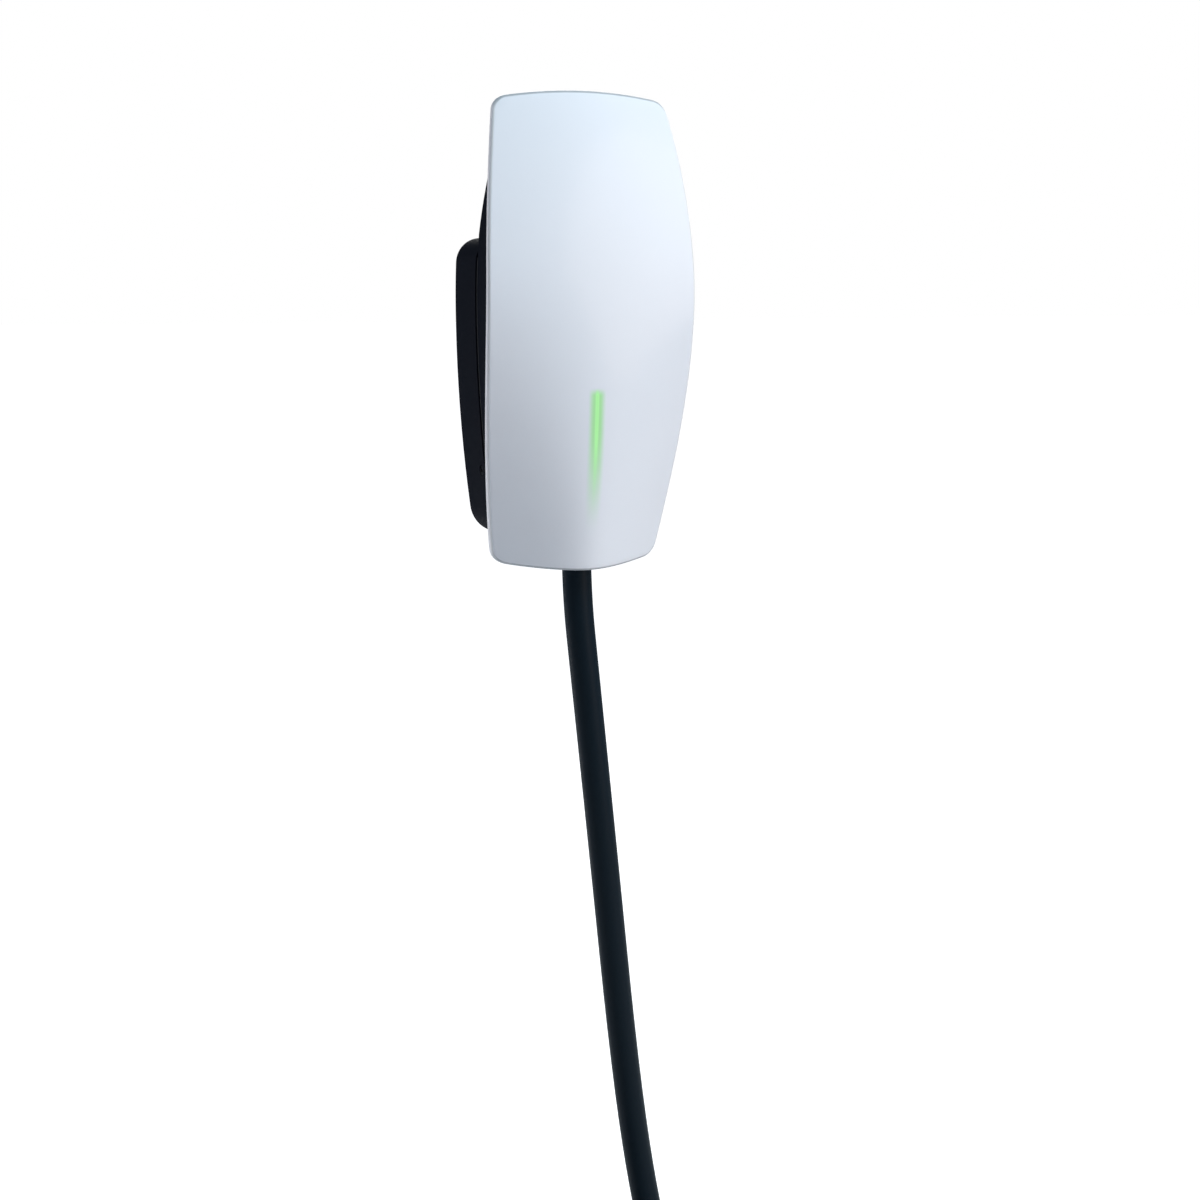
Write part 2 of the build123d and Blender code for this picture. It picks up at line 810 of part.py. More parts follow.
def terminal_block():
    low = terminal_z - terminal_height / 2
    high = terminal_z + terminal_height / 2
    front = terminal_base + terminal_depth
    half = terminal_width / 2
    body = block((-half, half), (terminal_base, front), (low, high))
    body = fillet(body.edges().filter_by(Axis.Y), terminal_corner)
    for x in terminal_ears():
        side = math.copysign(1, x)
        body += block(sorted((side * (half - past), side * (half + ear_width))),
                      (terminal_base, terminal_base + ear_thickness),
                      (terminal_z - ear_height / 2, terminal_z + ear_height / 2))
        body -= rod_out(x, terminal_z, ear_screw + pass_gap, terminal_base - past, front)
    for x in pole_xs:
        body -= block((x - cell_width / 2, x + cell_width / 2), (terminal_base + cell_wall, front + past),
                      (low + cell_wall, high - cell_wall))
        body -= rod_up(x, wire_reach(), wire_mouth, low - past, low + cell_wall + past)
    return body


def wire_reach():
    return terminal_base + cell_wall + cage_wall + wire_hole / 2


def terminal_clamps():
    group = []
    base = terminal_base + cell_wall
    low = terminal_z - terminal_height / 2 + cell_wall
    front = terminal_base + terminal_depth
    split = blade_z - jaw_half
    roof = split - cage_roof
    gap = blade_slot_clearance
    for x in pole_xs:
        sides = (x - clamp_width / 2, x + clamp_width / 2)
        cage = block(sides, (base, front - cage_setback), (low, split))
        jaw = block(sides, (base + jaw_floor, front - jaw_setback), (split, blade_z + jaw_half))
        jaw -= block((x - blade_width / 2 - gap, x + blade_width / 2 + gap), (base, front),
                     (blade_z - blade_thickness / 2 - gap, blade_z + blade_thickness / 2 + gap))
        clamp = cage + jaw
        clamp -= rod_up(x, wire_reach(), wire_hole, low - past, roof)
        clamp -= rod_out(x, (low + roof) / 2, clamp_screw, wire_reach(), front)
        group.append(clamp)
    return Compound(group)


def terminal_screws():
    low = terminal_z - terminal_height / 2 + cell_wall
    z = (low + blade_z - jaw_half - cage_roof) / 2
    back = wire_reach() + wire_hole / 2
    front = terminal_base + terminal_depth - screw_setback
    group = []
    for x in pole_xs:
        body = rod_out(x, z, clamp_screw - 2 * bite_gap, back, front)
        recess = Plane.XZ.offset(front) * Pos(x, z) * RegularPolygon(hex_socket, 6)
        group.append(body - extrude(recess, amount=-hex_socket_depth))
    return Compound(group)


def terminal_block_screws():
    seat = terminal_base + ear_thickness
    length = seat - box_wall - past / 2
    return Compound([screw(x, terminal_z, seat, ear_screw, length, ear_screw_head, ear_screw_head_height)
                     for x in terminal_ears()])


def blade_block():
    half = blade_block_width / 2
    up = blade_block_height / 2
    inner = housing_back + housing_wall
    back = terminal_base + terminal_depth + blade_block_gap
    body = block((-half, half), (back, board_reach - board_gap), (blade_z - up, blade_z + up))
    half += blade_block_flange
    up += blade_block_flange
    body += block((-half, half), (inner, inner + blade_block_flange_height), (blade_z - up, blade_z + up))
    wide = blade_width / 2 + blade_gap
    thick = blade_thickness / 2 + blade_gap
    for x in pole_xs:
        body -= block((x - wide, x + wide), (back - past, board_reach), (blade_z - thick, blade_z + thick))
    return body


def power_blades():
    tip = terminal_base + terminal_depth - jaw_setback - blade_bite
    group = []
    for x in pole_xs:
        blade = block((x - blade_width / 2, x + blade_width / 2), (tip, board_reach),
                      (blade_z - blade_thickness / 2, blade_z + blade_thickness / 2))
        tips = blade.edges().filter_by(Axis.Z).sort_by(Axis.Y)[-2:]
        group.append(chamfer(tips, blade_tip))
    return Compound(group)


# The main board

def main_board():
    outline = RectangleRounded(board_width, board_top - board_bottom, board_corner)
    board = prism(Pos(0, (board_top + board_bottom) / 2) * outline, board_reach, board_front)
    for x, z in board_posts():
        board -= rod_out(x, z, board_screw + pass_gap, board_reach - past, board_front + past)
    return board


def board_screws():
    return Compound([screw(x, z, board_front, board_screw, board_screw_length, board_screw_head,
                           board_screw_head_height) for x, z in board_posts()])


def on_board(size, place, radius):
    """A rounded box that stands on the front of the board."""
    wide, deep, tall = size
    x, z = place
    front = board_front + deep
    body = block((x - wide / 2, x + wide / 2), (board_front, front), (z - tall / 2, z + tall / 2))
    return fillet(body.edges().filter_by(Axis.Y), radius)


def relay(side):
    body = on_board(relay_size, (side * relay_x, relay_z), relay_corner)
    top = body.faces().sort_by(Axis.Y)[0]
    return chamfer(top.edges(), relay_chamfer)


def power_transformer():
    core = on_board(transformer_core, transformer_place, transformer_core_corner)
    return core + on_board(transformer_bobbin, transformer_place, transformer_bobbin_corner)


def filter_capacitors():
    group = []
    for x, z in capacitor_places:
        can = rod_out(x, z, capacitor_diameter, board_front, board_front + capacitor_height)
        group.append(fillet(can.edges().sort_by(Axis.Y)[0], capacitor_edge))
    return Compound(group)


def ring_reach():
    return board_front + ring_outer / 2 + ring_lift


def current_ring():
    reach = ring_reach()
    ring = rod_up(0, reach, ring_outer, ring_z - ring_height / 2, ring_z + ring_height / 2)
    ring -= rod_up(0, reach, ring_inner, ring_z - ring_height, ring_z + ring_height)
    ring = fillet(ring.edges().filter_by(GeomType.CIRCLE), ring_corner)
    foot = Pos(0, -board_front - ring_foot[1] / 2, ring_z) * Box(*ring_foot)
    hole = rod_up(0, reach, ring_outer - 2 * ring_corner, ring_z - ring_height, ring_z + ring_height)
    return ring + (foot - hole)


def core_terminals():
    group = []
    for side in (-1, 1):
        group.append(on_board(power_terminal_size, (side * relay_x, power_terminal_z), 1.0))
    for place in (ground_terminal_place, signal_terminal_place):
        group.append(on_board(small_terminal_size, place, 1.0))
    return Compound(group)


def tube(points, diameter, radii):
    path = FilletPolyline(*points, radius=radii)
    start = Plane(origin=path @ 0, z_dir=path % 0)
    return sweep(start * Circle(diameter / 2), path=path)


def power_cores():
    group = []
    reach = ring_reach()
    low = cable_inner_end + past
    high = power_terminal_z - power_terminal_size[2] / 2
    into = board_front + power_terminal_size[1] / 2 + past
    for side in (-1, 1):
        x = side * core_x
        points = [(x, -cable_reach - past, low), (x, -cable_reach - past, low + 2 * core_bend),
                  (x, -reach, ring_z - core_bend), (x, -reach, ring_z + ring_height + past),
                  (side * relay_x, -into, high - 2 * core_bend), (side * relay_x, -into, high)]
        group.append(tube(points, power_core, core_bend))
    return Compound(group)


def small_core(place, x_start, diameter):
    x, z = place
    low = cable_inner_end + past
    start = cable_reach + core_x + power_core / 2
    into = board_front + small_terminal_size[1] / 2
    high = z - small_terminal_size[2] / 2
    points = [(x_start, -start, low), (x_start, -start, low + 2 * small_core_bend),
              (x, -into, high - 2 * small_core_bend), (x, -into, high)]
    return tube(points, diameter, small_core_bend)


def ground_wire():
    return small_core(ground_terminal_place, small_core_x, ground_core)


def signal_wire():
    return small_core(signal_terminal_place, -small_core_x, signal_core)


# The charging cable

def cord_tube(name, points):
    """Straight runs joined by arcs as large as the runs allow."""
    vectors = [Vector(*p) for p in points]
    radii = []
    for before, here, after in zip(vectors, vectors[1:], vectors[2:]):
        turn = (here - before).get_angle(after - here)
        shorter = min((here - before).length, (after - here).length)
        radii.append(run_share * shorter / math.tan(math.radians(turn / 2)))
    path = FilletPolyline(*vectors, radius=radii)
    start = Plane(origin=path @ 0, z_dir=path % 0)
    solid = sweep(start * Circle(cable_radius), path=path)
    print(name, "radii", [round(r) for r in radii], "length", round(path.length, 1),
          "volume ratio", round(solid.volume / (path.length * math.pi * cable_radius ** 2), 4))
    return solid


coil_inner = coil_mean_radius - cable_diameter * coil_columns / 2
coil_outer = coil_mean_radius + cable_diameter * coil_columns / 2
coil_edge = 0.9 * cable_radius
coil_height = cable_diameter * coil_layers
landing_z = floor_z + coil_height - cable_radius

# Share of the shorter run beside a corner that its arc takes up
run_share = 0.45

hanging_route = [(0.0, -cable_reach, box_bottom), (0.0, -cable_reach, -150.0), (6.8, -66.2, -215.0),
                 (20.5, -66.6, -345.0), (40.5, -67.4, -540.0), (58.0, -70.0, -655.0),
                 (65.0, -104.5, -719.0), (78.5, -170.5, landing_z), (75.0, -248.5, landing_z)]

tail_route = [(38.0, -306.0, floor_z + 33.0), (-12.0, -338.5, floor_z + 33.0),
              (-82.0, -347.0, floor_z + 31.0), (-160.0, -handle_reach, floor_z + handle_lift),
              (-238.0, -handle_reach, floor_z + handle_lift)]


def cable_coil():
    x, reach = coil_centre
    ring = rod_up(x, reach, 2 * coil_outer, floor_z, floor_z + coil_height)
    ring -= rod_up(x, reach, 2 * coil_inner, floor_z - past, floor_z + coil_height + past)
    return fillet(ring.edges().filter_by(GeomType.CIRCLE), coil_edge)


# The handle on the cable's end. It is built along X from its rear end and then turned round.

def handle_place(shape):
    return Pos(handle_x, -handle_reach, floor_z + handle_lift) * Rot(0, 0, 180) * shape


def handle_form(thinner):
    sections = []
    for s, across, up, camber in handle_stations:
        section = Ellipse(across - thinner, up - thinner)
        sections.append(Plane.YZ.offset(s) * Pos(0, camber) * section)
    return loft(sections)


def along(s_from, s_to, y, z, diameter):
    rod = Rot(0, 90, 0) * Cylinder(diameter / 2, s_to - s_from)
    return Pos((s_from + s_to) / 2, y, z) * rod


def upright(s, z_from, z_to, diameter):
    return Pos(s, 0, (z_from + z_to) / 2) * Cylinder(diameter / 2, z_to - z_from)


def handle_length():
    return handle_stations[-1][0]


def nose_outline(grow):
    half = nose_width / 2
    up = nose_height / 2
    shape = Polygon((-half, 0), (-nose_narrow / 2, -up), (nose_narrow / 2, -up), (half, 0), (half, up),
                    (-half, up), align=None)
    shape = fillet(shape.vertices(), nose_corner)
    return offset(shape, amount=grow) if grow else shape


def button_hole(grow):
    slot = SlotOverall(button_length + 2 * grow, button_width + 2 * grow)
    return Pos(button_s, 0, 0) * slot


def top_at(s, thinner):
    """Height of the handle's upper surface at a station along it."""
    for (s0, _, up0, c0), (s1, _, up1, c1) in zip(handle_stations, handle_stations[1:]):
        if s0 <= s <= s1:
            share = (s - s0) / (s1 - s0)
            return up0 + (up1 - up0) * share + c0 + (c1 - c0) * share - thinner
    return 0.0


def handle_shell():
    outer = handle_form(0)
    length = handle_length()
    ends = Pos(length / 2, 0, 0) * Box(length - 2 * collar_plate, length, length)
    shell = outer - (handle_form(handle_wall) & ends)
    front = Plane.YZ.offset(length - collar_plate - past) * nose_outline(nose_clearance)
    shell -= extrude(front, amount=collar_plate + 2 * past)
    shell -= along(-past, collar_plate + past, 0, 0, handle_boot_neck() + 2 * bite_gap)
    return shell, outer


def handle_half(side):
    """All that lies above the parting plane, or below it."""
    room = 2 * handle_length()
    return Pos(handle_length() / 2, 0, side * room / 2) * Box(room, room, room)


def handle_boot_neck():
    return cable_diameter + 2 * handle_boot_wall


def handle_shell_upper():
    shell, outer = handle_shell()
    for s in handle_screws:
        shell += upright(s, 0, handle_length(), 2 * handle_post) & outer
        shell -= upright(s, -past, handle_screw_tip + past, handle_screw + bite_gap)
    shell -= extrude(button_hole(button_gap), amount=handle_length())
    return shell & handle_half(1)


def handle_shell_lower():
    shell, outer = handle_shell()
    for s in handle_screws:
        shell += upright(s, -handle_length(), 0, 2 * handle_post) & outer
        shell -= upright(s, -handle_length(), past, handle_screw + pass_gap)
        shell -= upright(s, -handle_length(), handle_screw_seat, handle_screw_head + head_gap)
    # Ledges under the switch board
    ledge = Pos(button_s, 0, -switch_board_thickness - ledge_thickness / 2)
    ledge *= Box(switch_board_length, handle_length(), ledge_thickness)
    window = Pos(button_s, 0, 0) * Box(handle_length(), ledge_window, handle_length())
    shell += (ledge - window) & handle_form(handle_wall / 4)
    return shell & handle_half(-1)


def handle_screw_set():
    group = []
    for s in handle_screws:
        end = handle_screw_seat - handle_screw_head_height
        body = upright(s, handle_screw_seat, handle_screw_tip, handle_screw)
        body += upright(s, end, handle_screw_seat, handle_screw_head)
        recess = Pos(s, 0, end) * RegularPolygon(handle_screw_recess, 6)
        group.append(body - extrude(recess, amount=handle_screw_recess))
    return Compound(group)


def button_top():
    return top_at(button_s, 0) + button_stand


def flange_top():
    half = button_width / 2 + button_flange_edge
    up = top_at(button_s, handle_wall)
    across = handle_stations[2][1] - handle_wall
    return up * math.sqrt(1 - (half / across) ** 2) - button_rest_gap


def handle_button():
    flange = extrude(Pos(0, 0, flange_top() - button_flange) * button_hole(button_flange_edge),
                     amount=button_flange)
    cap = extrude(Pos(0, 0, flange_top()) * button_hole(0), amount=button_top() - flange_top())
    cap = fillet(cap.faces().sort_by(Axis.Z)[-1].edges(), button_edge)
    stem_low = switch_height + plunger_height + button_travel + stem_gap
    stem = upright(button_s, stem_low, flange_top() - button_flange, stem_diameter)
    return cap + flange + stem


def button_switch():
    body = Pos(button_s, 0, switch_height / 2) * Box(switch_size, switch_size, switch_height)
    body = chamfer(body.edges().filter_by(Axis.Z), switch_corner)
    return body + upright(button_s, switch_height, switch_height + plunger_height, plunger_diameter)


def switch_board():
    width = 2 * (handle_stations[2][1] - handle_wall - switch_board_gap)
    board = Box(switch_board_length, width, switch_board_thickness)
    return Pos(button_s, 0, -switch_board_thickness / 2) * board


def button_spring():
    low = switch_height + spring_wire / 2
    high = flange_top() - button_flange - spring_wire / 2
    radius = (spring_diameter - spring_wire) / 2
    path = Pos(button_s, 0, low) * Helix((high - low) / spring_turns, high - low, radius)
    start = Plane(origin=path @ 0, z_dir=path % 0)
    return sweep(start * Circle(spring_wire / 2), path=path, is_frenet=True)


def connector_bores():
    """Places and diameters of the five contacts, as seen from the rear."""
    x, z = power_bore_place
    places = [(x, z, power_bore), (-x, z, power_bore), (0.0, ground_bore_z, ground_bore)]
    x, z = signal_bore_place
    return places + [(x, z, signal_bore), (-x, z, signal_bore)]


def connector_nose():
    length = handle_length()
    base = length - collar_plate
    nose = extrude(Plane.YZ.offset(base) * nose_outline(0), amount=collar_plate + nose_length)
    nose = chamfer(nose.faces().sort_by(Axis.X)[-1].edges(), nose_chamfer)
    flange = extrude(Plane.YZ.offset(base - nose_flange_height) * nose_outline(nose_flange),
                     amount=nose_flange_height)
    nose += flange & handle_form(handle_wall + nose_clearance)
    for y, z, bore in connector_bores():
        nose -= along(0, length + nose_length + past, y, z, bore)
    return nose


def sleeves(bores):
    """Contact sleeves: open towards the front, closed and crimped behind."""
    front = handle_length() + nose_length - sleeve_recess
    group = []
    for y, z, bore in bores:
        outer = bore - sleeve_gap
        sleeve = along(front - sleeve_length - sleeve_crimp, front, y, z, outer)
        sleeve -= along(front - sleeve_length, front + past, y, z, outer - sleeve_wall * bore)
        group.append(sleeve)
    return Compound(group)


def handle_boot():
    neck = handle_boot_neck() / 2
    bore = cable_radius + bite_gap
    inside = 2 * collar_plate
    rear = handle_stations[0][1] - handle_boot_step
    profile = Polygon((-handle_boot_length, bore), (inside, bore), (inside, neck + handle_boot_flange),
                      (collar_plate, neck + handle_boot_flange), (collar_plate, neck), (0, neck), (0, rear),
                      (-handle_boot_straight, rear), (-handle_boot_length, handle_boot_mouth / 2), align=None)
    return revolve(Plane.XZ * profile, axis=Axis.X)


def handle_cores():
    """The cores between the cable's jacket and the contact sleeves."""
    back = collar_plate + handle_core_start
    front = handle_length() + nose_length - sleeve_recess - sleeve_length - sleeve_crimp
    y, z = power_bore_place
    low = handle_core_low
    sag, rise, level = handle_core_runs
    group = []
    for side in (-1, 1):
        points = [(back, -side * low, low), (back + sag, side * handle_core_side, low - 1),
                  (front - rise, side * handle_core_side, low), (front - level, side * y, z),
                  (front, side * y, z)]
        group.append(tube(points, handle_core, handle_core_bends))
    return Compound(group)


nodes = {
    "wirebox": wirebox(),
    "wirebox_seal": wirebox_seal(),
    "entry_plugs": entry_plugs(),
    "locking_screws": locking_screws(),
    "terminal_block": terminal_block(),
    "terminal_block_screws": terminal_block_screws(),
    "terminal_clamps": terminal_clamps(),
    "terminal_screws": terminal_screws(),
    "blade_block": blade_block(),
    "power_blades": power_blades(),
    "main_housing": main_housing(),
    "main_board": main_board(),
    "board_screws": board_screws(),
    "relay_left": relay(-1),
    "relay_right": relay(1),
    "power_transformer": power_transformer(),
    "filter_capacitors": filter_capacitors(),
    "radio_module": on_board(radio_size, radio_place, 1.0),
    "control_chip": on_board(chip_size, chip_place, 0.5),
    "current_ring": current_ring(),
    "core_terminals": core_terminals(),
    "power_cores": power_cores(),
    "ground_wire": ground_wire(),
    "signal_wire": signal_wire(),
    "cable_clamp": cable_clamp(),
    "clamp_screws": clamp_screws(),
    "gland_body": gland_body(),
    "gland_nut": gland_nut(),
    "gland_boot": gland_boot(),
    "cable_seal": cable_seal(),
    "cable_entry": cable_entry(),
    "housing_seal": housing_seal(),
    "front_cover": front_cover(),
    "cover_screws": cover_screws(),
    "light_guide": light_guide(),
    "leds": leds(),
    "led_strip": led_strip(),
    "faceplate_frame": faceplate_frame(),
    "faceplate_glass": faceplate_glass(),
    "cable_hanging": cord_tube("cable_hanging", hanging_route),
    "cable_coil": cable_coil(),
    "cable_tail": cord_tube("cable_tail", tail_route),
    "handle_boot": handle_place(handle_boot()),
    "handle_shell_upper": handle_place(handle_shell_upper()),
    "handle_shell_lower": handle_place(handle_shell_lower()),
    "handle_screws": handle_place(handle_screw_set()),
    "handle_button": handle_place(handle_button()),
    "button_spring": handle_place(button_spring()),
    "button_switch": handle_place(button_switch()),
    "switch_board": handle_place(switch_board()),
    "connector_nose": handle_place(connector_nose()),
    "power_sockets": handle_place(sleeves(connector_bores()[:2])),
    "ground_socket": handle_place(sleeves(connector_bores()[2:3])),
    "signal_sockets": handle_place(sleeves(connector_bores()[3:])),
    "handle_cores": handle_place(handle_cores()),
}

for name, shape in nodes.items():
    export_step(shape, f"parts/{name}.step")
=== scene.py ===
import math

import bmesh
import bpy
from mathutils import Matrix, Vector


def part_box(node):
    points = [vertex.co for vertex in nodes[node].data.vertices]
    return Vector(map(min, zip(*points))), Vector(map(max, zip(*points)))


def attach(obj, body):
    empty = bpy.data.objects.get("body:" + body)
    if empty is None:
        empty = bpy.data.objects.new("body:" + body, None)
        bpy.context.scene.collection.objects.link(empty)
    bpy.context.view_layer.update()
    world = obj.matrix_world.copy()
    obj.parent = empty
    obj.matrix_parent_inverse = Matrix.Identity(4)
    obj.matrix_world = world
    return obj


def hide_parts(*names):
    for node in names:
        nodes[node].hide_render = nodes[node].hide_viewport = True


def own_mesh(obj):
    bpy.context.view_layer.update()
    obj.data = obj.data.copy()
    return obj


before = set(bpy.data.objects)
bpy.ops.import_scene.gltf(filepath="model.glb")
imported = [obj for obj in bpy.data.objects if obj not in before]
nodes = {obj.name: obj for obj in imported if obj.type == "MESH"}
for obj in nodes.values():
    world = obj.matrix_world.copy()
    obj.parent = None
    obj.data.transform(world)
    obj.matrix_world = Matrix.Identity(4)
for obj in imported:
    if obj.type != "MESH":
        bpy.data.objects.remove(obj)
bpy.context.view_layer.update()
scene = bpy.context.scene
scene.view_settings.view_transform = "Standard"

# All lengths are in metres. X is to the right, Z up, and the front of the unit looks towards -Y.

# The camera stands to the left of the unit, a little above the middle of its face
camera_place = (-0.544, -1.459, 0.080)
camera_target = (0.0114, -0.085, -0.155)
camera_focal = 60.6
camera_sensor = 36.0

# The face plate's outline: barrel sides, arched ends and round corners
plate_half = 0.080
plate_height = 0.345
plate_middle = 0.041
plate_top = plate_middle + plate_height / 2
plate_bottom = plate_middle - plate_height / 2
plate_arch = 0.0058
plate_corner = 0.0138
# The radii of the sides, above and below where the plate is widest
widest_z = plate_middle + 0.020
side_radii = (0.772, 1.163)

# The plate's face: crowned, and turning into a keel low down
unit_depth = 0.110
# The radii from top to bottom, above and below where the face is farthest out
crown_z = plate_middle + 0.005
crown_radii = (0.480, 0.834)
# How far the face falls back at its sides, and how round its ridge is, at the top and at the bottom
bulges = (0.007, 0.031)
keels = (1.2, 0.32)
# The share of the height, from the top, in which there is no keel yet
keel_start = 0.35

# The glass, and how finely it is divided
glass_thickness = 0.004
glass_edge = 0.0021
edge_steps = 4
corner_rounds = 4
corner_steps = 10
side_steps = 40
end_steps = 24
glass_rings = 30
# What lies farther than this behind the face belongs to the rim
rim_depth = 0.0001

# The face's white, its rim at the sides, and the rim's painted shade at the two ends, a darker tone that
# stands in for the frame's shadow and dark reflections
glass_white = (0.850, 0.880, 0.955)
glass_white_shade = (0.830, 0.863, 0.940)
rim_side = (0.84, 0.84, 0.87)
# The rim's darker tone at the ends is painted shade
rim_end_painted_shade = (0.46, 0.48, 0.52)
# The painted shade at the ends comes in between these distances from the plate's top or bottom
end_shade_reach = 0.015
end_shade_full = 0.007

# The light bar as it shows through the glass: heights, then widths from its middle
light_top = 0.0004
light_end_blur = 0.0032
light_fade_start = -0.022
light_fade_end = -0.107
light_core = 0.0013
light_blur = 0.0009
light_half = 0.0019
light_halo = 0.0055
# The bar's bright core and the glow round it
light_tint = (0.22, 0.50, 0.20)
light_colour = (0.23, 0.47, 0.19)
halo_colour = (0.30, 0.79, 0.25)
halo_tint = 0.84
halo_glow = 0.13

# The spring under the button
spring_wire = 0.00045
spring_turns = 3
spring_steps = 72
spring_sides = 12

# The charging cable: it hangs from the gland, lies in a coil and ends in a tail before the handle
cable_radius = 0.011
cable_top = -0.1125
floor_level = -0.815
layer_level = floor_level + 3 * cable_radius
landing_level = floor_level + 5 * cable_radius
handle_level = floor_level + 0.0215
hanging_route = [
    (0.0, -0.066, cable_top), (0.0, -0.066, -0.150), (0.0068, -0.0662, -0.215), (0.0205, -0.0666, -0.345),
    (0.0405, -0.0674, -0.540), (0.058, -0.070, -0.655), (0.065, -0.1045, -0.719),
    (0.0785, -0.1705, landing_level), (0.075, -0.2485, landing_level)]
tail_route = [
    (0.038, -0.306, layer_level), (-0.012, -0.3385, layer_level), (-0.082, -0.347, floor_level + 0.031),
    (-0.160, -0.3455, handle_level), (-0.238, -0.3455, handle_level)]

# The coil: a lane is a layer and a column, and each change of lane takes some of the turn's degrees
coil_x = -0.060
coil_reach = 0.2035
coil_middle_radius = 0.131
coil_lanes = [(2, 1), (2, 0), (1, 0), (0, 0), (0, 1), (1, 1)]
lane_first_change = 310
lane_change_every = 320
lane_change_length = 40
coil_from, coil_to, coil_step = 38, 1828, 20

# The floor, which reaches past all that the camera sees. Its glow to the camera grows from near to far.
floor_gap = 0.0004
floor_size = 40.0
floor_pale = (0.80, 0.80, 0.80)
floor_paler = (0.82, 0.82, 0.82)
floor_near, floor_far = 1.5, 3.5
floor_glow_near, floor_glow_far = 0.70, 1.0

# The light of the room
sky_colour = (0.66, 0.80, 1.0)
sky_strength = 0.15
light_distance = 2.6
unit_middle = (0.0, -0.08, 0.05)
dark = (0.0, 0.0, 0.0)
bright = (1.0, 1.0, 1.0)


# Shader helpers

def rgba(colour):
    return (*colour, 1.0)


def put(tree, value, socket):
    """Links a socket to a socket, or sets a plain value."""
    if isinstance(value, bpy.types.NodeSocket):
        tree.links.new(value, socket)
    else:
        socket.default_value = value


def object_place(tree):
    """The place of a point in its piece."""
    return tree.nodes.new("ShaderNodeTexCoord").outputs["Object"]


def maths(tree, operation, *values):
    node = tree.nodes.new("ShaderNodeMath")
    node.operation = operation
    for socket, value in zip(node.inputs, values):
        put(tree, value, socket)
    return node.outputs[0]


def ramp(tree, value, low, high, start, end):
    """A smooth change from start to end as value goes from low to high."""
    node = tree.nodes.new("ShaderNodeMapRange")
    node.interpolation_type = "SMOOTHSTEP"
    put(tree, value, node.inputs["Value"])
    for label, number in (("From Min", low), ("From Max", high), ("To Min", start), ("To Max", end)):
        node.inputs[label].default_value = number
    return node.outputs["Result"]


def noise(tree, place, scale, detail=2.0):
    node = tree.nodes.new("ShaderNodeTexNoise")
    tree.links.new(place, node.inputs["Vector"])
    put(tree, scale, node.inputs["Scale"])
    node.inputs["Detail"].default_value = detail
    return node.outputs["Fac"]


def mix_colour(tree, share, first, second):
    """A share of the second colour in the first. The colour sockets go by number, as their names repeat."""
    node = tree.nodes.new("ShaderNodeMix")
    node.data_type = "RGBA"
    put(tree, share, node.inputs["Factor"])
    put(tree, first, node.inputs[6])
    put(tree, second, node.inputs[7])
    return node.outputs[2]


def add_bump(tree, shader, height, strength, distance):
    bump = tree.nodes.new("ShaderNodeBump")
    bump.inputs["Strength"].default_value = strength
    bump.inputs["Distance"].default_value = distance
    tree.links.new(height, bump.inputs["Height"])
    tree.links.new(bump.outputs["Normal"], shader.inputs["Normal"])


# Shader groups

def new_group(name, inputs):
    """A shader group that puts out a colour, a roughness and a height."""
    group = bpy.data.node_groups.new(name, "ShaderNodeTree")
    for label, kind, value in inputs:
        socket = group.interface.new_socket(label, in_out="INPUT", socket_type="NodeSocket" + kind)
        socket.default_value = value
    for label, kind in (("Colour", "Color"), ("Roughness", "Float"), ("Height", "Float")):
        group.interface.new_socket(label, in_out="OUTPUT", socket_type="NodeSocket" + kind)
    return group, group.nodes.new("NodeGroupInput"), group.nodes.new("NodeGroupOutput")


def moulded_grain_group():
    """Fine grain of moulded plastic or rubber, with broad uneven gloss."""
    group, inside, out = new_group(
        "moulded_grain",
        [("Colour", "Color", (0.5, 0.5, 0.5, 1)), ("Light Colour", "Color", (0.6, 0.6, 0.6, 1)),
         ("Grain Scale", "Float", 1500.0), ("Roughness", "Float", 0.5), ("Unevenness", "Float", 0.08)])
    where = object_place(group)
    fine = noise(group, where, scale=inside.outputs["Grain Scale"], detail=1.0)
    broad = noise(group, where, scale=28.0, detail=3.0)
    blotch = maths(group, "MULTIPLY", maths(group, "ADD", fine, broad), 0.5)
    group.links.new(mix_colour(group, blotch, inside.outputs["Colour"], inside.outputs["Light Colour"]),
                    out.inputs["Colour"])
    sway = maths(group, "MULTIPLY", maths(group, "SUBTRACT", blotch, 0.5), inside.outputs["Unevenness"])
    group.links.new(maths(group, "ADD", inside.outputs["Roughness"], maths(group, "MULTIPLY", sway, 2.0)),
                    out.inputs["Roughness"])
    group.links.new(fine, out.inputs["Height"])
    return group


def brushed_group():
    """Fine lines across one axis, as turned or brushed metal has."""
    group, inside, out = new_group(
        "brushed_lines",
        [("Colour", "Color", (0.6, 0.6, 0.6, 1)), ("Dark Colour", "Color", (0.4, 0.4, 0.4, 1)),
         ("Stretch", "Vector", (1.0, 30.0, 1.0)), ("Roughness", "Float", 0.3)])
    stretched = group.nodes.new("ShaderNodeVectorMath")
    stretched.operation = "MULTIPLY"
    group.links.new(object_place(group), stretched.inputs[0])
    group.links.new(inside.outputs["Stretch"], stretched.inputs[1])
    lines = noise(group, stretched.outputs[0], scale=160.0, detail=4.0)
    group.links.new(mix_colour(group, lines, inside.outputs["Dark Colour"], inside.outputs["Colour"]),
                    out.inputs["Colour"])
    sway = maths(group, "MULTIPLY", maths(group, "SUBTRACT", lines, 0.5), 0.2)
    group.links.new(maths(group, "ADD", inside.outputs["Roughness"], sway), out.inputs["Roughness"])
    group.links.new(lines, out.inputs["Height"])
    return group


grain_group = moulded_grain_group()
lines_group = brushed_group()


# Materials

def bare_material(name):
    material = bpy.data.materials.new(name)
    material.use_nodes = True
    tree = material.node_tree
    return material, tree, tree.nodes["Principled BSDF"]


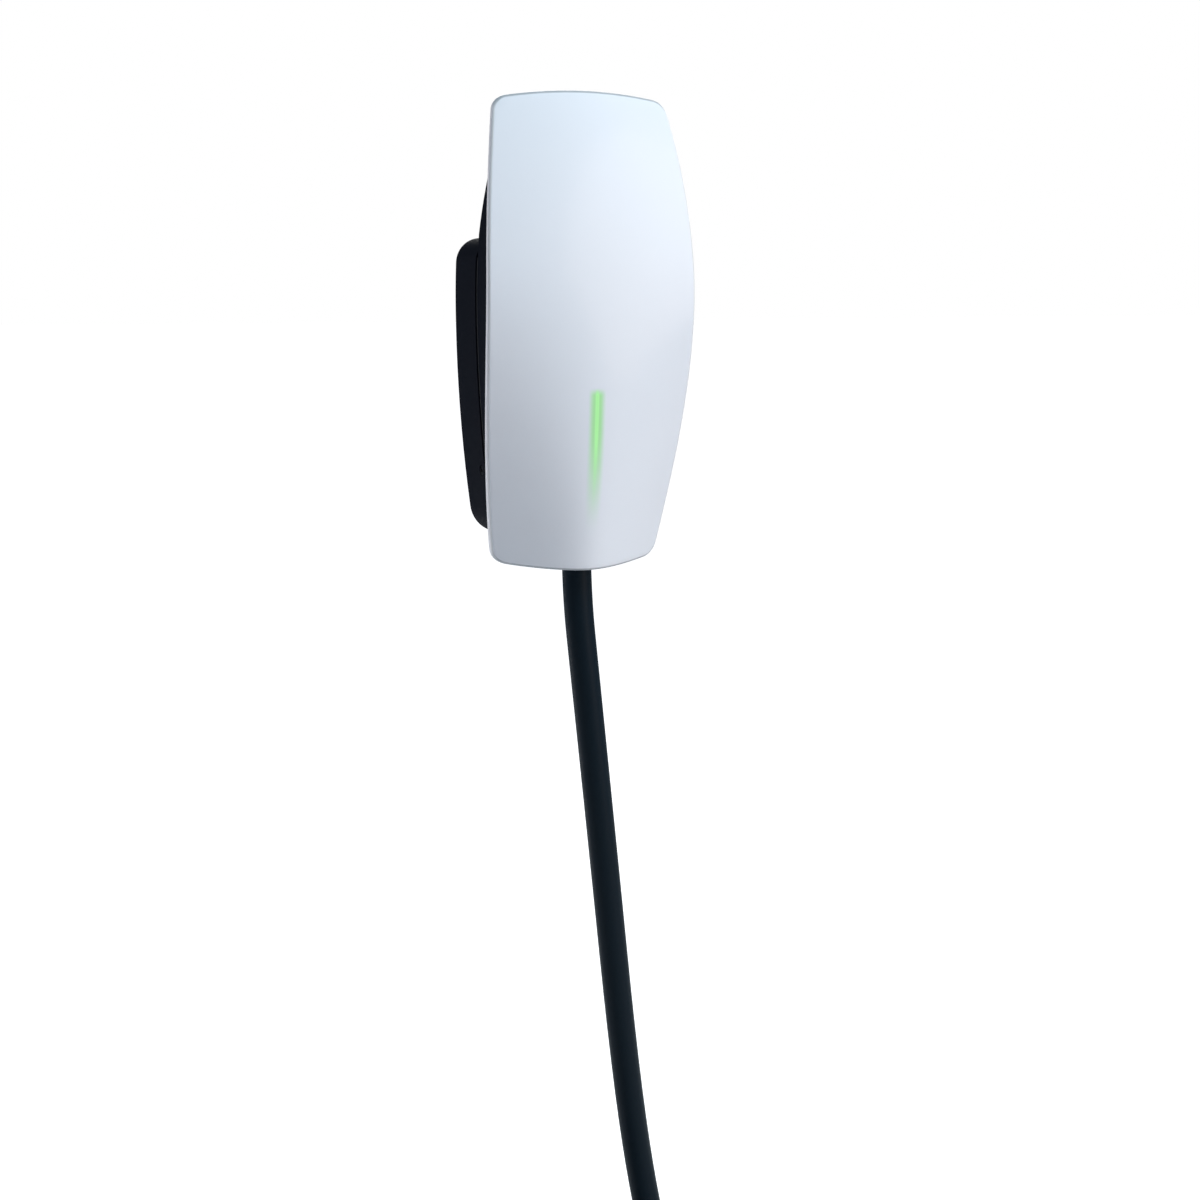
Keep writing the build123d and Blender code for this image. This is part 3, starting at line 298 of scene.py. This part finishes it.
def grouped_material(name, group, values, bump, depth):
    """A material that takes its colour, roughness and relief from a shader group."""
    material, tree, shader = bare_material(name)
    node = tree.nodes.new("ShaderNodeGroup")
    node.node_tree = group
    for label, value in values.items():
        node.inputs[label].default_value = value
    tree.links.new(node.outputs["Colour"], shader.inputs["Base Color"])
    tree.links.new(node.outputs["Roughness"], shader.inputs["Roughness"])
    add_bump(tree, shader, node.outputs["Height"], bump, depth)
    return material, shader


def moulded(name, colour, light, roughness, grain=1500.0, bump=0.25, unevenness=0.08, specular=0.5):
    """Moulded plastic or rubber."""
    values = {"Colour": rgba(colour), "Light Colour": rgba(light), "Grain Scale": grain,
              "Roughness": roughness, "Unevenness": unevenness}
    material, shader = grouped_material(name, grain_group, values, bump, depth=0.00008)
    shader.inputs["Specular IOR Level"].default_value = specular
    return material


def metal(name, colour, dark_colour, roughness, stretch=(1.0, 30.0, 1.0)):
    """Metal with fine lines across the axis that has the greatest stretch."""
    values = {"Colour": rgba(colour), "Dark Colour": rgba(dark_colour), "Stretch": stretch,
              "Roughness": roughness}
    material, shader = grouped_material(name, lines_group, values, bump=0.15, depth=0.00005)
    shader.inputs["Metallic"].default_value = 1.0
    return material


def lit(name, colour, emission, strength, roughness):
    """Clear plastic with light in it."""
    material, tree, shader = bare_material(name)
    cloud = noise(tree, object_place(tree), scale=400.0)
    dim = tuple(0.85 * part for part in colour)
    tree.links.new(mix_colour(tree, cloud, rgba(colour), rgba(dim)), shader.inputs["Base Color"])
    shader.inputs["Roughness"].default_value = roughness
    shader.inputs["Emission Color"].default_value = rgba(emission)
    shader.inputs["Emission Strength"].default_value = strength
    return material


def striped_core():
    """A green wire with a yellow stripe."""
    material, tree, shader = bare_material("earth_wire")
    where = object_place(tree)
    wave = tree.nodes.new("ShaderNodeTexWave")
    wave.inputs["Scale"].default_value = 60.0
    tree.links.new(where, wave.inputs["Vector"])
    stripe = ramp(tree, wave.outputs["Fac"], 0.5, 0.58, 0.0, 1.0)
    green, yellow = (0.05, 0.28, 0.04), (0.75, 0.60, 0.03)
    tree.links.new(mix_colour(tree, stripe, rgba(green), rgba(yellow)), shader.inputs["Base Color"])
    shader.inputs["Roughness"].default_value = 0.42
    add_bump(tree, shader, noise(tree, where, scale=900.0), strength=0.1, distance=0.00005)
    return material


def board_lacquer():
    """Green board lacquer over faint copper tracks."""
    material, tree, shader = bare_material("board_lacquer")
    # The main board stands upright, so the pattern is turned to face the front
    turned = tree.nodes.new("ShaderNodeMapping")
    turned.inputs["Rotation"].default_value = (math.pi / 2, 0, 0)
    tree.links.new(object_place(tree), turned.inputs["Vector"])
    tracks = tree.nodes.new("ShaderNodeTexBrick")
    tracks.inputs["Scale"].default_value = 90.0
    tracks.inputs["Mortar Size"].default_value = 0.05
    tree.links.new(turned.outputs["Vector"], tracks.inputs["Vector"])
    lacquer, track = (0.012, 0.11, 0.04), (0.03, 0.20, 0.07)
    tree.links.new(mix_colour(tree, tracks.outputs["Fac"], rgba(lacquer), rgba(track)),
                   shader.inputs["Base Color"])
    shader.inputs["Roughness"].default_value = 0.32
    add_bump(tree, shader, tracks.outputs["Fac"], strength=0.2, distance=0.00003)
    return material


def light_bar(tree, across, up):
    """Masks of the lit slot's bright core and of the glow round it. Both fade downwards, the core faster."""
    top = ramp(tree, up, light_top - light_end_blur, light_top + light_end_blur, 1.0, 0.0)
    fade = ramp(tree, up, light_fade_end, light_fade_start, 0.0, 1.0)
    along = maths(tree, "MULTIPLY", top, fade)
    core = ramp(tree, across, light_core - light_blur, light_core + light_blur, 1.0, 0.0)
    halo = ramp(tree, across, light_half, light_half + light_halo, 1.0, 0.0)
    core_along = maths(tree, "MULTIPLY", along, fade)
    return maths(tree, "MULTIPLY", core, core_along), maths(tree, "MULTIPLY", halo, along)


def rim_colour_with_end_shade(tree, up):
    """The ground rim's colour, with painted shade that makes it darker near the plate's two ends."""
    from_middle = maths(tree, "ABSOLUTE", maths(tree, "SUBTRACT", up, plate_middle))
    end = plate_height / 2
    # Painted shade: how much of the darker end tone the rim takes
    shade_at_end = ramp(tree, from_middle, end - end_shade_reach, end - end_shade_full, 0.0, 1.0)
    return mix_colour(tree, shade_at_end, rgba(rim_side), rgba(rim_end_painted_shade))


def white_glass():
    """White-backed glass with a ground rim, which has painted shade near the plate's ends. The light behind
    its slot shines through.
    """
    material, tree, shader = bare_material("face_white")
    where = object_place(tree)
    split = tree.nodes.new("ShaderNodeSeparateXYZ")
    tree.links.new(where, split.inputs[0])
    across = maths(tree, "ABSOLUTE", split.outputs["X"])
    up = split.outputs["Z"]
    plain = mix_colour(tree, noise(tree, where, scale=9.0), rgba(glass_white), rgba(glass_white_shade))
    rim = tree.nodes.new("ShaderNodeAttribute")
    rim.attribute_name = "rim"
    # The rim takes its own colour, with painted shade near the ends
    rimmed = mix_colour(tree, rim.outputs["Fac"], plain, rim_colour_with_end_shade(tree, up))
    core, halo = light_bar(tree, across, up)
    tinted = mix_colour(tree, maths(tree, "MULTIPLY", halo, halo_tint), rimmed, rgba(halo_colour))
    tree.links.new(mix_colour(tree, core, tinted, rgba(light_tint)), shader.inputs["Base Color"])
    glow = maths(tree, "ADD", core, maths(tree, "MULTIPLY", halo, halo_glow))
    tree.links.new(mix_colour(tree, glow, rgba(dark), rgba(light_colour)), shader.inputs["Emission Color"])
    shader.inputs["Emission Strength"].default_value = 1.0
    shader.inputs["Roughness"].default_value = 0.38
    shader.inputs["Coat Weight"].default_value = 0.25
    shader.inputs["Coat Roughness"].default_value = 0.10
    return material


# The finishes of the pieces, each with its colour, its lighter or darker shade and its roughness
face_white = white_glass()
housing_black = moulded("housing_black", (0.0050, 0.0060, 0.0100), (0.0072, 0.0086, 0.0130), 0.60,
                        specular=0.03)
handle_black = moulded("handle_black", (0.010, 0.0105, 0.0125), (0.016, 0.0165, 0.019), 0.50,
                       grain=1100.0, bump=0.35)
nose_black = moulded("nose_black", (0.012, 0.012, 0.0135), (0.017, 0.017, 0.0185), 0.34,
                     grain=1800.0, bump=0.10)
plug_black = moulded("plug_black", (0.016, 0.016, 0.018), (0.024, 0.024, 0.026), 0.42)
cable_black = moulded("cable_black", (0.002, 0.008, 0.014), (0.004, 0.011, 0.019), 0.42,
                      grain=2200.0, bump=0.20, unevenness=0.10, specular=0.13)
boot_black = moulded("boot_black", (0.009, 0.0105, 0.013), (0.014, 0.016, 0.019), 0.58,
                     grain=1700.0, bump=0.3)
seal_grey = moulded("seal_grey", (0.030, 0.030, 0.033), (0.045, 0.045, 0.048), 0.65)
frame_white = moulded("frame_white", (0.62, 0.63, 0.65), (0.70, 0.71, 0.73), 0.45)
terminal_grey = moulded("terminal_grey", (0.33, 0.34, 0.34), (0.40, 0.41, 0.40), 0.48)
blade_beige = moulded("blade_beige", (0.42, 0.41, 0.36), (0.50, 0.49, 0.44), 0.48)
relay_black = moulded("relay_black", (0.018, 0.018, 0.021), (0.028, 0.028, 0.031), 0.35)
winding_yellow = moulded("winding_yellow", (0.50, 0.33, 0.04), (0.62, 0.44, 0.08), 0.40)
button_grey = moulded("button_grey", (0.055, 0.058, 0.062), (0.075, 0.078, 0.082), 0.42)
strip_white = moulded("strip_white", (0.70, 0.71, 0.70), (0.78, 0.79, 0.78), 0.40)
core_brown = moulded("core_brown", (0.075, 0.030, 0.014), (0.11, 0.048, 0.022), 0.42,
                     grain=1800.0, bump=0.1)
core_white = moulded("core_white", (0.62, 0.62, 0.59), (0.70, 0.70, 0.67), 0.42,
                     grain=1800.0, bump=0.1)
screw_steel = metal("screw_steel", (0.62, 0.61, 0.58), (0.42, 0.41, 0.40), 0.30)
screw_black = metal("screw_black", (0.030, 0.030, 0.034), (0.018, 0.018, 0.021), 0.45)
plated_metal = metal("plated_metal", (0.78, 0.77, 0.73), (0.60, 0.59, 0.56), 0.24, (30.0, 1.0, 1.0))
blade_copper = metal("blade_copper", (0.78, 0.46, 0.26), (0.58, 0.32, 0.18), 0.28)
can_aluminium = metal("can_aluminium", (0.74, 0.75, 0.76), (0.58, 0.59, 0.60), 0.33, (1.0, 1.0, 25.0))
core_striped = striped_core()
board_green = board_lacquer()
guide_clear = lit("light_guide_clear", (0.55, 0.85, 0.55), (0.25, 0.9, 0.25), strength=0.6, roughness=0.15)
led_green = lit("led_green", (0.50, 0.95, 0.50), (0.20, 1.0, 0.25), strength=3.0, roughness=0.30)

node_materials = {
    housing_black: ["wirebox", "main_housing", "front_cover", "cable_clamp"],
    handle_black: ["handle_shell_upper", "handle_shell_lower"],
    nose_black: ["connector_nose"],
    plug_black: ["entry_plugs", "gland_body", "gland_nut"],
    cable_black: ["cable_entry", "cable_hanging", "cable_coil", "cable_tail"],
    boot_black: ["gland_boot", "handle_boot"],
    seal_grey: ["wirebox_seal", "housing_seal", "cable_seal"],
    frame_white: ["faceplate_frame"],
    terminal_grey: ["terminal_block"],
    blade_beige: ["blade_block"],
    relay_black: ["relay_left", "relay_right", "button_switch", "control_chip", "current_ring"],
    winding_yellow: ["power_transformer"],
    button_grey: ["handle_button"],
    strip_white: ["led_strip"],
    core_brown: ["power_cores", "handle_cores"],
    core_white: ["signal_wire"],
    screw_black: ["locking_screws"],
    screw_steel: ["terminal_block_screws", "terminal_screws", "board_screws", "clamp_screws",
                  "cover_screws", "handle_screws", "button_spring"],
    plated_metal: ["terminal_clamps", "core_terminals", "power_sockets", "ground_socket", "signal_sockets"],
    blade_copper: ["power_blades"],
    can_aluminium: ["filter_capacitors", "radio_module"],
    core_striped: ["ground_wire"],
    board_green: ["main_board", "switch_board"],
    guide_clear: ["light_guide"],
    led_green: ["leds"],
    face_white: ["faceplate_glass"],
}

for material, names in node_materials.items():
    for name in names:
        mesh = nodes[name].data
        mesh.materials.clear()
        mesh.materials.append(material)


# Helpers for shapes

def between(first, last, share):
    return first + (last - first) * share


def eased(share):
    """A share, kept from 0 to 1, that starts and ends gently."""
    share = min(max(share, 0.0), 1.0)
    return share * share * (3 - 2 * share)


def finished(name, bm, material, smooth_angle=40.0):
    """A mesh object of the unit from a bmesh, smooth but for edges sharper than the angle."""
    mesh = bpy.data.meshes.new(name)
    bm.to_mesh(mesh)
    bm.free()
    mesh.shade_smooth()
    mesh.set_sharp_from_angle(angle=math.radians(smooth_angle))
    mesh.materials.append(material)
    piece = bpy.data.objects.new(name, mesh)
    scene.collection.objects.link(piece)
    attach(piece, "unit")
    return piece


# The spring under the button

def add_spring():
    """A helix in the solid spring's place."""
    low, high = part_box("button_spring")
    middle = (low + high) / 2
    length = high.z - low.z
    start = Vector((low.x + spring_wire, middle.y, low.z + spring_wire))
    bm = bmesh.new()
    bmesh.ops.create_circle(bm, cap_ends=True, segments=spring_sides, radius=spring_wire,
                            matrix=Matrix.Translation(start) @ Matrix.Rotation(math.radians(90), 4, "X"))
    bmesh.ops.spin(bm, geom=bm.verts[:] + bm.edges[:] + bm.faces[:], cent=middle, axis=(0, 0, 1),
                   dvec=(0, 0, (length - 2 * spring_wire) / spring_steps),
                   angle=2 * math.pi * spring_turns, steps=spring_steps)
    bmesh.ops.recalc_face_normals(bm, faces=bm.faces)
    piece = finished("press_spring", bm, screw_steel, smooth_angle=180.0)
    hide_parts("button_spring")
    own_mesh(piece)
    return piece


# The charging cable

def lane_place(lane):
    """Radius and height of a lane's middle."""
    layer, column = coil_lanes[lane]
    return (coil_middle_radius + (column - 0.5) * 2 * cable_radius,
            floor_level + cable_radius + layer * 2 * cable_radius)


def coil_point(angle):
    """The coil's control point at an angle, in degrees, counted on from turn to turn."""
    radius, height = lane_place(0)
    for change in range(1, len(coil_lanes)):
        start = lane_first_change + lane_change_every * (change - 1)
        share = eased((angle - start) / lane_change_length)
        new_radius, new_height = lane_place(change)
        radius = between(radius, new_radius, share)
        height = between(height, new_height, share)
    # The spline runs inside its control points by this much
    radius /= math.cos(math.radians(coil_step / 2))
    turn = math.radians(angle)
    return (coil_x + radius * math.cos(turn), -coil_reach - radius * math.sin(turn), height)


def add_cable(spring):
    """One smooth cord for the cable's three solids. The handle at its far end goes where it goes."""
    coil = [coil_point(angle) for angle in range(coil_from, coil_to, coil_step)]
    points = hanging_route + coil + tail_route
    curve = bpy.data.curves.new("charging_cable", "CURVE")
    curve.dimensions = "3D"
    # Each point carries the cable's radius
    curve.bevel_depth = 1.0
    curve.bevel_resolution = 6
    curve.resolution_u = 6
    curve.use_fill_caps = True
    spline = curve.splines.new("NURBS")
    spline.points.add(len(points) - 1)
    for point, place in zip(spline.points, points):
        point.co = (*place, 1.0)
        point.radius = cable_radius
    spline.order_u = 3
    spline.use_endpoint_u = True
    cable = bpy.data.objects.new("charging_cable", curve)
    scene.collection.objects.link(cable)
    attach(cable, "unit")
    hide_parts("cable_hanging", "cable_coil", "cable_tail")
    curve.materials.append(cable_black)


# The glass of the face

def side_half(inset, z):
    """Half the plate's width at a height, with its side moved in by the inset."""
    half = plate_half - inset
    radius = side_radii[0 if z > widest_z else 1] - inset
    return half - radius + math.sqrt(radius ** 2 - (z - widest_z) ** 2)


def glass_reach(x, z):
    """Reach of the outer face: a crowned middle that turns into a keel low down."""
    radius = crown_radii[0 if z > crown_z else 1]
    middle = unit_depth - radius + math.sqrt(radius ** 2 - (z - crown_z) ** 2)
    fall = eased(((plate_top - z) / plate_height - keel_start) / (1 - keel_start))
    bulge = between(*bulges, fall)
    keel = between(*keels, fall)
    across = x / side_half(0.0, z)
    return middle - bulge * (math.hypot(across, keel) - keel) / (math.hypot(1, keel) - keel)


def end_arc(top):
    """Radius of the arched top or bottom edge, and the height of its centre."""
    half = side_half(0.0, plate_top - plate_arch if top else plate_bottom + plate_arch)
    radius = (half ** 2 + plate_arch ** 2) / (2 * plate_arch)
    return radius, plate_top - radius if top else plate_bottom + radius


def corner_turn(top):
    """Points of a right-hand corner, an arc that runs smoothly from the side into the arched end."""
    end_radius, end_centre = end_arc(top)
    up = 1 if top else -1
    side_centre = plate_half - side_radii[0 if top else 1]
    # The arc's centre settles, round by round, where the side and the end meet, both moved in by its radius
    z = plate_middle + up * (plate_height / 2 - plate_corner)
    for _ in range(corner_rounds):
        x = side_half(plate_corner, z)
        z = end_centre + up * math.sqrt((end_radius - plate_corner) ** 2 - x ** 2)
    start = math.atan2(z - widest_z, x - side_centre)
    end = math.atan2(z - end_centre, x)
    angles = [between(start, end, i / corner_steps) for i in range(corner_steps + 1)]
    return [(x + plate_corner * math.cos(angle), z + plate_corner * math.sin(angle)) for angle in angles]


def end_points(top, from_x):
    """Points of an arched end between its corners, from the side of from_x."""
    radius, centre = end_arc(top)
    up = 1 if top else -1
    xs = [between(from_x, -from_x, i / end_steps) for i in range(1, end_steps)]
    return [(x, centre + up * math.sqrt(radius ** 2 - x ** 2)) for x in xs]


def outline_edges(bm):
    """The plate's front outline as a closed ring of edges."""
    low_turn, high_turn = corner_turn(False), corner_turn(True)
    start, end = low_turn[0][1], high_turn[0][1]
    heights = [between(start, end, i / side_steps) for i in range(1, side_steps)]
    right = low_turn[::-1] + [(side_half(0.0, z), z) for z in heights] + high_turn
    points = right + end_points(True, right[-1][0])
    points += [(-x, z) for x, z in reversed(right)] + end_points(False, -right[0][0])
    verts = [bm.verts.new((x, 0.0, z)) for x, z in points]
    return [bm.edges.new(pair) for pair in zip(verts, verts[1:] + verts[:1])]


def fill_with_rings(bm, edges):
    """Fills the flat outline with ever smaller rings, down to a point in the plate's middle."""
    to_middle = Matrix.Translation((0, 0, -plate_middle))
    for left in range(glass_rings, 1, -1):
        made = bmesh.ops.extrude_edge_only(bm, edges=edges)["geom"]
        inner = {v for v in made if isinstance(v, bmesh.types.BMVert)}
        edges = [e for e in made if isinstance(e, bmesh.types.BMEdge) and inner.issuperset(e.verts)]
        share = (left - 1) / left
        bmesh.ops.scale(bm, vec=(share, 1, share), space=to_middle, verts=list(inner))
    bmesh.ops.pointmerge(bm, verts=list(inner), merge_co=(0, 0, plate_middle))


def mark_rim(bm):
    """Marks what lies behind the front face, for the material."""
    rim = bm.verts.layers.float.new("rim")
    for vert in bm.verts:
        behind = glass_reach(vert.co.x, vert.co.z) + vert.co.y
        vert[rim] = 1.0 if behind > rim_depth else 0.0


def add_glass():
    """A sheet that follows the face, with a thickness and a rounded front edge."""
    bm = bmesh.new()
    front_edge = outline_edges(bm)
    fill_with_rings(bm, front_edge)
    for vert in bm.verts:
        vert.co.y = -glass_reach(vert.co.x, vert.co.z)
    made = bmesh.ops.extrude_face_region(bm, geom=bm.faces[:])
    moved = [v for v in made["geom"] if isinstance(v, bmesh.types.BMVert)]
    bmesh.ops.translate(bm, vec=(0, glass_thickness, 0), verts=moved)
    bmesh.ops.bevel(bm, geom=front_edge, offset=glass_edge, segments=edge_steps, profile=0.5,
                    affect="EDGES", material=-1)
    bmesh.ops.recalc_face_normals(bm, faces=bm.faces)
    mark_rim(bm)
    glass = finished("face_glass", bm, face_white)
    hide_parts("faceplate_glass")


add_cable(add_spring())
add_glass()


# Camera, light, floor and background

def aim(obj, place, target):
    obj.location = place
    obj.rotation_euler = (Vector(target) - Vector(place)).to_track_quat("-Z", "Y").to_euler()


def add_camera():
    data = bpy.data.cameras.new("camera")
    data.lens = camera_focal
    data.sensor_width = camera_sensor
    camera = bpy.data.objects.new("camera", data)
    scene.collection.objects.link(camera)
    aim(camera, camera_place, camera_target)
    scene.camera = camera


def soft_light(name, azimuth, elevation, size, power, colour, mirrored):
    """A round soft light that faces the unit. Azimuth 0 is in front, and 90 at the right."""
    turn, rise = math.radians(azimuth), math.radians(elevation)
    away = Vector((math.sin(turn) * math.cos(rise), -math.cos(turn) * math.cos(rise), math.sin(rise)))
    data = bpy.data.lights.new(name, "AREA")
    data.shape = "DISK"
    data.size = size
    data.energy = power
    data.color = colour
    light = bpy.data.objects.new(name, data)
    scene.collection.objects.link(light)
    light.visible_glossy = mirrored
    aim(light, Vector(unit_middle) + light_distance * away, unit_middle)


def floor_white():
    """Pale floor. It looks as white as the background and throws only its own light back at the object."""
    material, tree, shader = bare_material("floor_white")
    where = object_place(tree)
    tree.links.new(mix_colour(tree, noise(tree, where, scale=3.0), rgba(floor_pale), rgba(floor_paler)),
                   shader.inputs["Base Color"])
    shader.inputs["Roughness"].default_value = 0.9
    shader.inputs["Specular IOR Level"].default_value = 0.1
    seen = tree.nodes.new("ShaderNodeLightPath").outputs["Is Camera Ray"]
    away = tree.nodes.new("ShaderNodeVectorMath")
    away.operation = "LENGTH"
    tree.links.new(where, away.inputs[0])
    glow = ramp(tree, away.outputs["Value"], floor_near, floor_far, floor_glow_near, floor_glow_far)
    tree.links.new(mix_colour(tree, maths(tree, "MULTIPLY", seen, glow), rgba(dark), rgba(bright)),
                   shader.inputs["Emission Color"])
    shader.inputs["Emission Strength"].default_value = 1.0
    return material


def add_floor():
    bm = bmesh.new()
    bmesh.ops.create_grid(bm, x_segments=2, y_segments=2, size=floor_size)
    bmesh.ops.translate(bm, vec=(0, 0, floor_level - floor_gap), verts=bm.verts)
    mesh = bpy.data.meshes.new("floor")
    bm.to_mesh(mesh)
    bm.free()
    mesh.materials.append(floor_white())
    floor = bpy.data.objects.new("floor", mesh)
    scene.collection.objects.link(floor)


def add_world():
    """White to the camera, and a soft pale blue light on the object."""
    world = bpy.data.worlds.new("studio")
    world.use_nodes = True
    scene.world = world
    tree = world.node_tree
    seen = tree.nodes["Background"]
    seen.inputs["Color"].default_value = rgba(bright)
    seen.inputs["Strength"].default_value = 1.0
    lighting = tree.nodes.new("ShaderNodeBackground")
    lighting.inputs["Color"].default_value = rgba(sky_colour)
    lighting.inputs["Strength"].default_value = sky_strength
    path = tree.nodes.new("ShaderNodeLightPath")
    both = tree.nodes.new("ShaderNodeMixShader")
    tree.links.new(path.outputs["Is Camera Ray"], both.inputs[0])
    tree.links.new(lighting.outputs[0], both.inputs[1])
    tree.links.new(seen.outputs[0], both.inputs[2])
    tree.links.new(both.outputs[0], tree.nodes["World Output"].inputs["Surface"])


add_camera()
add_world()
add_floor()
soft_light("key", 38, 58, 1.6, 57.0, (0.75, 0.94, 1.0), mirrored=False)
soft_light("side", 38, 13, 2.2, 30.0, (1.0, 0.84, 0.76), mirrored=True)
soft_light("rim", -135, 0, 1.6, 42.0, (1.0, 0.97, 1.0), mirrored=False)
soft_light("back", 155, 18, 1.6, 20.0, (1.0, 0.98, 0.95), mirrored=True)
